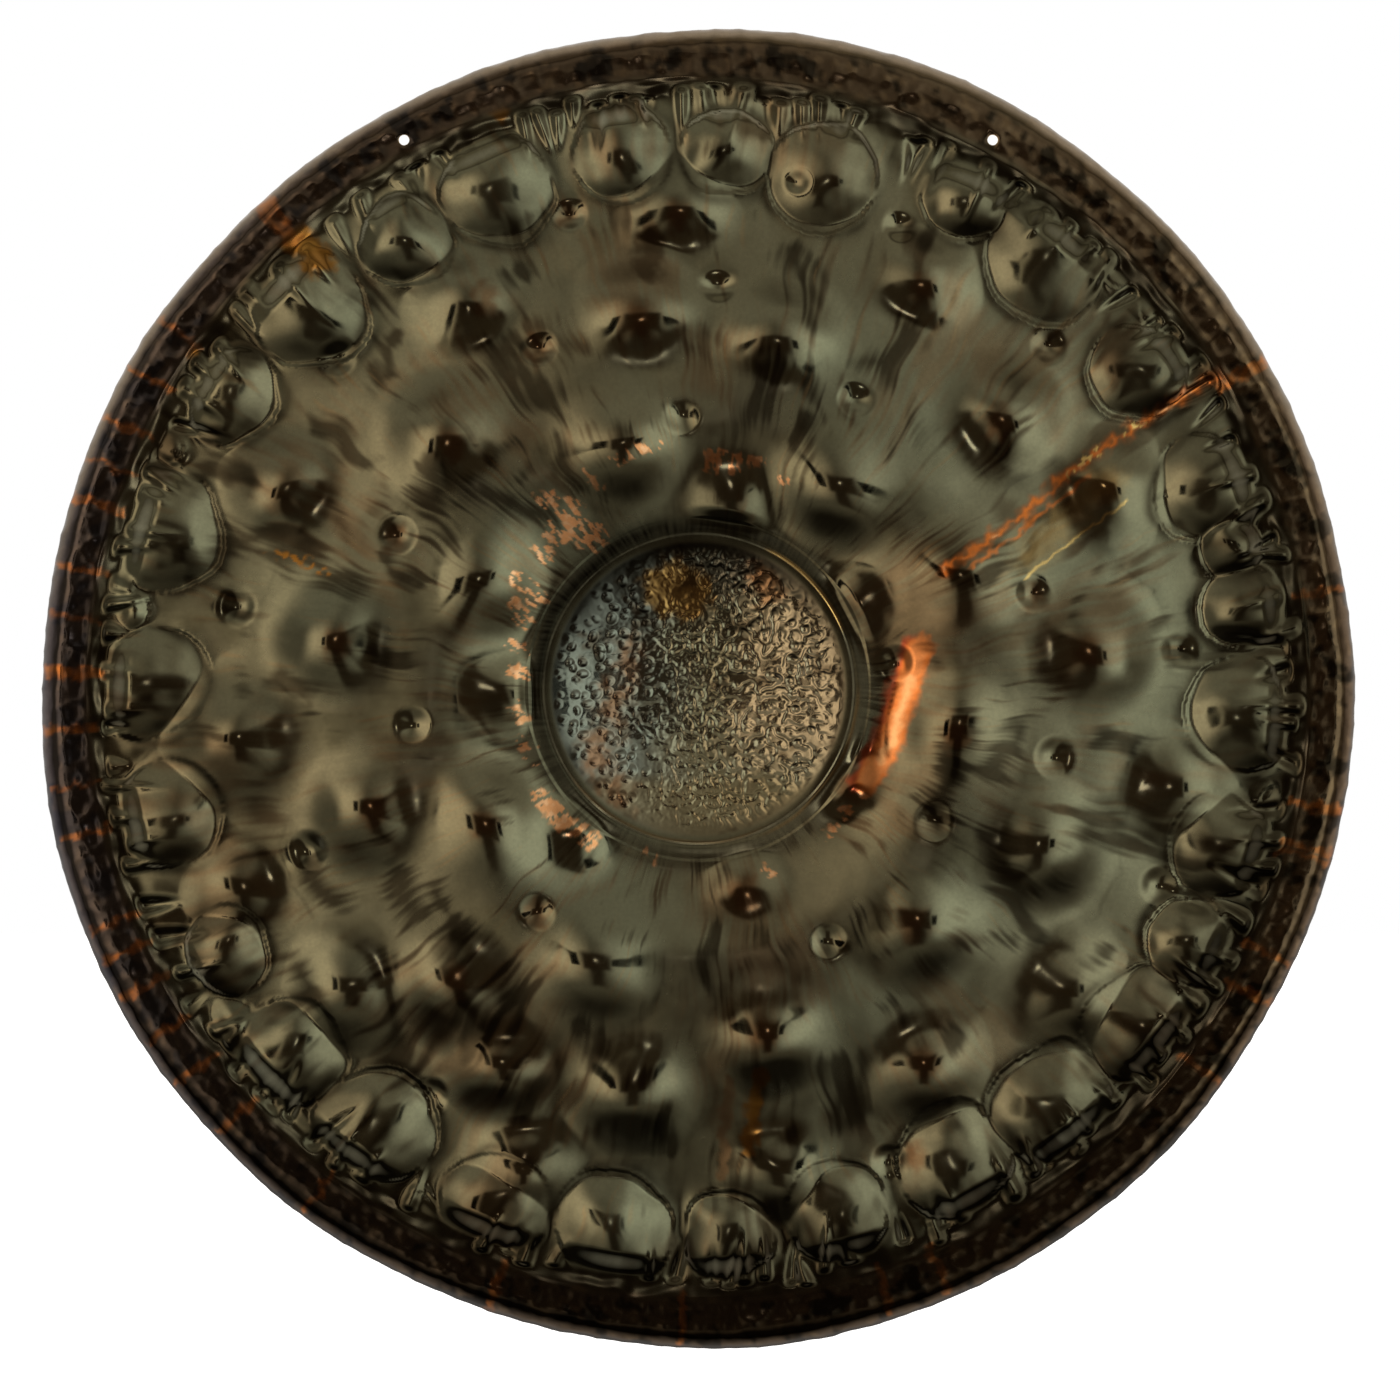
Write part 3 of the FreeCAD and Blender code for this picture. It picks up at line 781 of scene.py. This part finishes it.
# band and rim
band = ease(R, 371, 379)
around = TH * 390
blend((0.138, 0.096, 0.060), band)
blend((0.240, 0.165, 0.095), band * ease(noise(around, R * 1.5, 9, 67), 0.1, 0.6) * 0.6)
blend(BLACK, band * ease(noise(around, R, 18, 144) + 0.5 * noise(around, R, 6, 68), 0.05, 0.5) * 0.85)
blend((0.06, 0.058, 0.072), band * (0.5 - 0.5 * np.cos(TH)) ** 3 * 0.7)
blend(BLACK, band * ease(-Z, 120, 330) * 0.5)
blend((0.26, 0.205, 0.135), ease(R, 396, 402) * ease(Z, 0, 180) * 0.75)
rust = 0.6 + 0.5 * noise(around, R, 5, 151)
for x0, z0, width, amount in (
    (-345, 195, 4, .8), (-360, 165, 4, .7), (-372, 140, 3, .6), (-383, 118, 5, .8), (-385, 75, 4, .8),
    (-392, 45, 3, .5), (-398, 10, 9, .9), (-395, -25, 5, .8), (-388, -60, 3, .5), (-380, -90, 4, .8),
    (-370, -148, 4, .7), (-360, -165, 4, .8), (-345, -185, 4, .7), (-335, -215, 4, .7), (-310, -235, 4, .7),
    (-290, -268, 5, .6), (-240, -318, 4, .6), (345, 200, 8, .8), (385, 60, 4, .6), (395, -75, 5, .7),
    (375, -70, 3, .6), (365, -95, 4, .7), (380, -105, 4, .6), (355, -165, 4, .6), (335, -185, 4, .6),
    (310, -235, 4, .6), (-125, -370, 5, .5), (-10, -378, 5, .45), (110, -355, 4, .45), (150, -362, 5, .5),
    (-268, 298, 12, .6), (-330, 226, 4, .5),
):
    q = math.hypot(x0, z0)
    ends = ((x0 * 371 / q, z0 * 371 / q), (x0 * 402 / q, z0 * 402 / q))
    blend((0.60, 0.20, 0.045), stroke(ends, width, 1.2, 3.0, 150) * amount * rust)
flank = ease(Y, -2, 10) * band * (~is_back)
blend(TAN, flank)
blend((0.55, 0.36, 0.28), flank * ease(noise(around, Y * 3, 10, 152), -0.1, 0.4) * 0.7)
blend(NAVY, flank * ease(noise(around, Y * 6, 7, 153), 0.25, 0.45) * 0.7)
cloud = 0.95 + 0.55 * noise(X, Z, 75, 170) + 0.3 * noise(X, Z, 22, 171) + 0.28 * MIDDLE + 0.16 * FINE
cloud = np.clip(cloud, 0.3, 1.6)
cloud = cloud * (1 - 0.45 * ease(R, 325, 380)) * (1 - 0.4 * np.exp(-((R - 98) / 7) ** 2))
TINT[is_back] = cloud[is_back, None] * np.array((0.165, 0.122, 0.076))
blend(GOLD, hole_part * 0.8)

# the crowns of the hammer marks are rubbed bright, the field between them keeps its dull skin
polish = np.zeros(len(V))
for marks, inner, outer, most in (
    (DOMES, 19.0, 38.0, 1.0), (DENTS, 9.0, 15.0, 1.0), (BULGES, 16.0, 40.0, 0.8), (KNOBS, 9.0, 17.0, 0.7),
):
    for mx, mz, a in marks:
        near = (np.abs(X - mx) < outer + 4) & (np.abs(Z - mz) < outer + 4)
        d = np.hypot(X[near] - mx, Z[near] - mz) + 3 * noise(X[near], Z[near], 14, 160)
        polish[near] = np.maximum(polish[near], most * (1 - ease(d, inner, outer)))
polish = np.maximum(polish, 0.8 * (1 - ease(R, 90, 100)))
polish = np.maximum(polish, 0.75 * ease(R, 332, 346))
polish = np.maximum(polish, 0.6 * stroke(arc, 24, 8, 3, 165))
polish = np.clip(polish + 0.25 * FINE * field, 0, 1)

rgba = np.concatenate([TINT, np.ones((len(V), 1))], 1)
patina_and_painted_light = mesh.color_attributes.new("patina_and_painted_light", "FLOAT_COLOR", "POINT")
patina_and_painted_light.data.foreach_set("color", rgba.astype(np.float32).ravel())

DULL_SKIN = 0.235       # roughness of the skin, and how much of it the rubbing takes away
RUBBED = 0.16
dull = mesh.attributes.new("dull", "FLOAT", "POINT")
dull.data.foreach_set("value", (DULL_SKIN - RUBBED * polish).astype(np.float32))

gong = bpy.data.objects.new("gong_sheet", mesh)
bpy.context.scene.collection.objects.link(gong)


# ---------------------------------------------------------------- bronze
def node(tree, kind, **values):
    """A new node, with inputs and settings given by name."""
    n = tree.nodes.new(kind)
    for k, v in values.items():
        if k in n.inputs:
            n.inputs[k].default_value = v
        else:
            setattr(n, k, v)
    return n


def map_range(tree, value, source, target=(0.0, 1.0), **settings):
    """`value` taken from the range `source` to the range `target`, and held inside it."""
    n = node(tree, "ShaderNodeMapRange", **settings)
    for side, (low, high) in (("From", source), ("To", target)):
        n.inputs[side + " Min"].default_value = low
        n.inputs[side + " Max"].default_value = high
    tree.links.new(value, n.inputs["Value"])
    return n.outputs["Result"]


bronze = bpy.data.materials.new("bronze_patina")
bronze.use_nodes = True
tree = bronze.node_tree
tree.nodes.clear()
out = node(tree, "ShaderNodeOutputMaterial")
shader = node(tree, "ShaderNodeBsdfPrincipled")
shader.inputs["Metallic"].default_value = 1.0
tree.links.new(shader.outputs[0], out.inputs[0])
paint = node(tree, "ShaderNodeAttribute", attribute_name="patina_and_painted_light")
place = node(tree, "ShaderNodeTexCoord")
grain = node(tree, "ShaderNodeTexNoise", Scale=420.0, Detail=5.0, Roughness=0.6)
tree.links.new(place.outputs["Object"], grain.inputs["Vector"])
shade = map_range(tree, grain.outputs["Fac"], (0.25, 0.75), (0.9, 1.08))
mul = node(tree, "ShaderNodeVectorMath", operation="SCALE")
tree.links.new(paint.outputs["Color"], mul.inputs[0])
tree.links.new(shade, mul.inputs["Scale"])
tree.links.new(mul.outputs[0], shader.inputs["Base Color"])
blur = node(tree, "ShaderNodeTexNoise", Scale=38.0, Detail=4.0, Roughness=0.55)
tree.links.new(place.outputs["Object"], blur.inputs["Vector"])
rough = map_range(tree, blur.outputs["Fac"], (0.3, 0.7), (0.75, 1.3))
skin = node(tree, "ShaderNodeAttribute", attribute_name="dull")
gloss = node(tree, "ShaderNodeMath", operation="MULTIPLY")
tree.links.new(skin.outputs["Fac"], gloss.inputs[0])
tree.links.new(rough, gloss.inputs[1])
tree.links.new(gloss.outputs[0], shader.inputs["Roughness"])
mesh.materials.append(bronze)

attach(gong, "root")
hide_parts("gong_plate")


# ---------------------------------------------------------------- studio
# a small round lamp by the onlooker's eye, aimed at the middle of the gong
LAMP_PLACE = (0.0, -4.9, 0.1)
LAMP_WIDTH = 0.22
LAMP_RADIANCE = 2.4
light = bpy.data.lights.new("eye_lamp", "AREA")
light.shape = "ELLIPSE"
light.size = LAMP_WIDTH
light.size_y = LAMP_WIDTH
light.energy = LAMP_RADIANCE * math.pi * math.pi / 4 * LAMP_WIDTH ** 2
light.color = (1.0, 0.93, 0.82)
lamp = bpy.data.objects.new("eye_lamp", light)
bpy.context.scene.collection.objects.link(lamp)
lamp.location = LAMP_PLACE
lamp.rotation_euler = (math.pi / 2 - math.atan2(LAMP_PLACE[2], -LAMP_PLACE[1]), 0, 0)
lamp.visible_camera = False


def smooth_box(tree, xs, zs, centre, half, feather):
    """1 inside a soft rectangle of the card's own x and z, 0 outside."""
    parts = []
    for value, c, h in ((xs, centre[0], half[0]), (zs, centre[1], half[1])):
        off = node(tree, "ShaderNodeMath", operation="SUBTRACT")
        tree.links.new(value, off.inputs[0])
        off.inputs[1].default_value = c
        size = node(tree, "ShaderNodeMath", operation="ABSOLUTE")
        tree.links.new(off.outputs[0], size.inputs[0])
        limits = (h - feather, h + feather)
        parts.append(map_range(tree, size.outputs[0], limits, (1.0, 0.0), interpolation_type="SMOOTHSTEP"))
    both = node(tree, "ShaderNodeMath", operation="MULTIPLY")
    tree.links.new(parts[0], both.inputs[0])
    tree.links.new(parts[1], both.inputs[1])
    return both.outputs[0]


# a wide studio wall behind the onlooker: two pale diffusers, the gap between them and dim room above
WALL_Y = -5.2
wall_mesh = bpy.data.meshes.new("studio_wall")
wall_corners = [(-9, WALL_Y, -6), (9, WALL_Y, -6), (9, WALL_Y, 6), (-9, WALL_Y, 6)]
wall_mesh.from_pydata(wall_corners, [], [(0, 1, 2, 3)])
wall = bpy.data.objects.new("studio_wall", wall_mesh)
bpy.context.scene.collection.objects.link(wall)
wall.visible_camera = False
wall_material = bpy.data.materials.new("studio_wall_light")
wall_material.use_nodes = True
tw = wall_material.node_tree
tw.nodes.clear()
w_out = node(tw, "ShaderNodeOutputMaterial")
w_glow = node(tw, "ShaderNodeEmission")
tw.links.new(w_glow.outputs[0], w_out.inputs[0])
w_at = node(tw, "ShaderNodeTexCoord")
w_wave = node(tw, "ShaderNodeTexNoise", Scale=0.9, Detail=2.0)
tw.links.new(w_at.outputs["Object"], w_wave.inputs["Vector"])
w_off = node(tw, "ShaderNodeVectorMath", operation="MULTIPLY_ADD")
tw.links.new(w_wave.outputs["Color"], w_off.inputs[0])
w_off.inputs[1].default_value = (0.2, 0.0, 0.2)
tw.links.new(w_at.outputs["Object"], w_off.inputs[2])
w_split = node(tw, "ShaderNodeSeparateXYZ")
tw.links.new(w_off.outputs[0], w_split.inputs[0])
WX, WZ = w_split.outputs["X"], w_split.outputs["Z"]
wall_tone = None


def lay(previous, colour, mask):
    """One more patch of light on the wall, over what is there already."""
    mix = node(tw, "ShaderNodeMix", data_type="RGBA")
    if previous is None:
        mix.inputs["A"].default_value = (0.16, 0.14, 0.105, 1)
    else:
        tw.links.new(previous, mix.inputs["A"])
    mix.inputs["B"].default_value = (*colour, 1)
    tw.links.new(mask, mix.inputs["Factor"])
    return mix.outputs["Result"]


WAVE = 0.1     # the edges wander by this much, and the wander is centred on it
for colour, (cx, cz), half, feather in (
    ((0.36, 0.33, 0.26), (0.0, 2.2), (8.0, 2.2), 0.8),
    ((0.19, 0.17, 0.13), (-4.2, -0.3), (4.4, 2.6), 0.8),
    ((1.25, 1.04, 0.77), (-2.6, 0.2), (1.45, 1.55), 1.1),
    ((1.02, 1.04, 0.89), (2.9, 0.1), (1.6, 1.8), 1.1),
    ((0.02, 0.016, 0.012), (0.0, -6.2), (9.0, 2.9), 0.9),
    ((0.060, 0.042, 0.026), (0.0, -0.05), (1.15, 0.75), 0.2),
    ((0.05, 0.036, 0.024), (0.0, -1.5), (0.5, 0.9), 0.25),
    ((0.004, 0.003, 0.003), (-1.62, 0.02), (0.27, 0.50), 0.05),
    ((0.004, 0.003, 0.003), (1.45, 0.02), (0.22, 0.34), 0.05),
):
    wall_tone = lay(wall_tone, colour, smooth_box(tw, WX, WZ, (cx + WAVE, cz + WAVE), half, feather))
tw.links.new(wall_tone, w_glow.inputs["Color"])
wall_mesh.materials.append(wall_material)

world = bpy.data.worlds.new("studio")
bpy.context.scene.world = world
world.use_nodes = True
wt = world.node_tree
wt.nodes.clear()
wout = node(wt, "ShaderNodeOutputWorld")
bg = node(wt, "ShaderNodeBackground")
wt.links.new(bg.outputs[0], wout.inputs[0])
coord = node(wt, "ShaderNodeTexCoord")
split = node(wt, "ShaderNodeSeparateXYZ")
wt.links.new(coord.outputs["Generated"], split.inputs[0])
up = node(wt, "ShaderNodeValToRGB")
dark_stop, pale_stop = up.color_ramp.elements
dark_stop.position = 0.36
dark_stop.color = (0.012, 0.009, 0.006, 1)
pale_stop.position = 0.75
pale_stop.color = (0.26, 0.23, 0.17, 1)
middle_stop = up.color_ramp.elements.new(0.5)
middle_stop.color = (0.16, 0.14, 0.11, 1)
wt.links.new(map_range(wt, split.outputs["Z"], (-1.0, 1.0)), up.inputs["Fac"])
# pale at the sides and behind the gong, but right behind it only a quarter as bright low down
pale = node(wt, "ShaderNodeMix", data_type="RGBA")
wt.links.new(map_range(wt, split.outputs["Y"], (-0.55, 0.15)), pale.inputs["Factor"])
wt.links.new(up.outputs["Color"], pale.inputs["A"])
backdrop = node(wt, "ShaderNodeMix", data_type="FLOAT")
wt.links.new(map_range(wt, split.outputs["Y"], (0.45, 0.8)), backdrop.inputs["Factor"])
backdrop.inputs["A"].default_value = 1.0
wt.links.new(map_range(wt, split.outputs["Z"], (-0.35, 0.35), (0.25, 1.0)), backdrop.inputs["B"])
glow = node(wt, "ShaderNodeVectorMath", operation="SCALE")
glow.inputs[0].default_value = (0.9, 0.86, 0.82)
wt.links.new(backdrop.outputs["Result"], glow.inputs["Scale"])
wt.links.new(glow.outputs[0], pale.inputs["B"])
path = node(wt, "ShaderNodeLightPath")
seen = node(wt, "ShaderNodeMix", data_type="RGBA")
wt.links.new(path.outputs["Is Camera Ray"], seen.inputs["Factor"])
wt.links.new(pale.outputs["Result"], seen.inputs["A"])
seen.inputs["B"].default_value = (1.0, 1.0, 1.0, 1)
wt.links.new(seen.outputs["Result"], bg.inputs["Color"])

FLOOR_Z = -0.4105
floor_mesh = bpy.data.meshes.new("floor")
floor_corners = [(-9, -9, FLOOR_Z), (9, -9, FLOOR_Z), (9, 9, FLOOR_Z), (-9, 9, FLOOR_Z)]
floor_mesh.from_pydata(floor_corners, [], [(0, 1, 2, 3)])
floor = bpy.data.objects.new("floor", floor_mesh)
bpy.context.scene.collection.objects.link(floor)
paper = bpy.data.materials.new("pale_floor")
paper.use_nodes = True
pb = paper.node_tree.nodes["Principled BSDF"]
pb.inputs["Base Color"].default_value = (0.9, 0.9, 0.9, 1)
pb.inputs["Roughness"].default_value = 0.9
pb.inputs["Emission Color"].default_value = (1, 1, 1, 1)
pb.inputs["Emission Strength"].default_value = 0.93
floor_mesh.materials.append(paper)
floor.visible_glossy = False
floor.visible_diffuse = False

# a long lens 5 m in front, so that the disc fills the frame as it does in the photo
camera = bpy.data.cameras.new("camera")
camera.sensor_width = 36
camera.lens = 208.8
camera.clip_end = 60
eye = bpy.data.objects.new("camera", camera)
eye.location = (0.001, -5.0, -0.0068)
eye.rotation_euler = (math.pi / 2, 0, 0)
bpy.context.scene.collection.objects.link(eye)
bpy.context.scene.camera = eye
bpy.context.scene.view_settings.view_transform = "Standard"
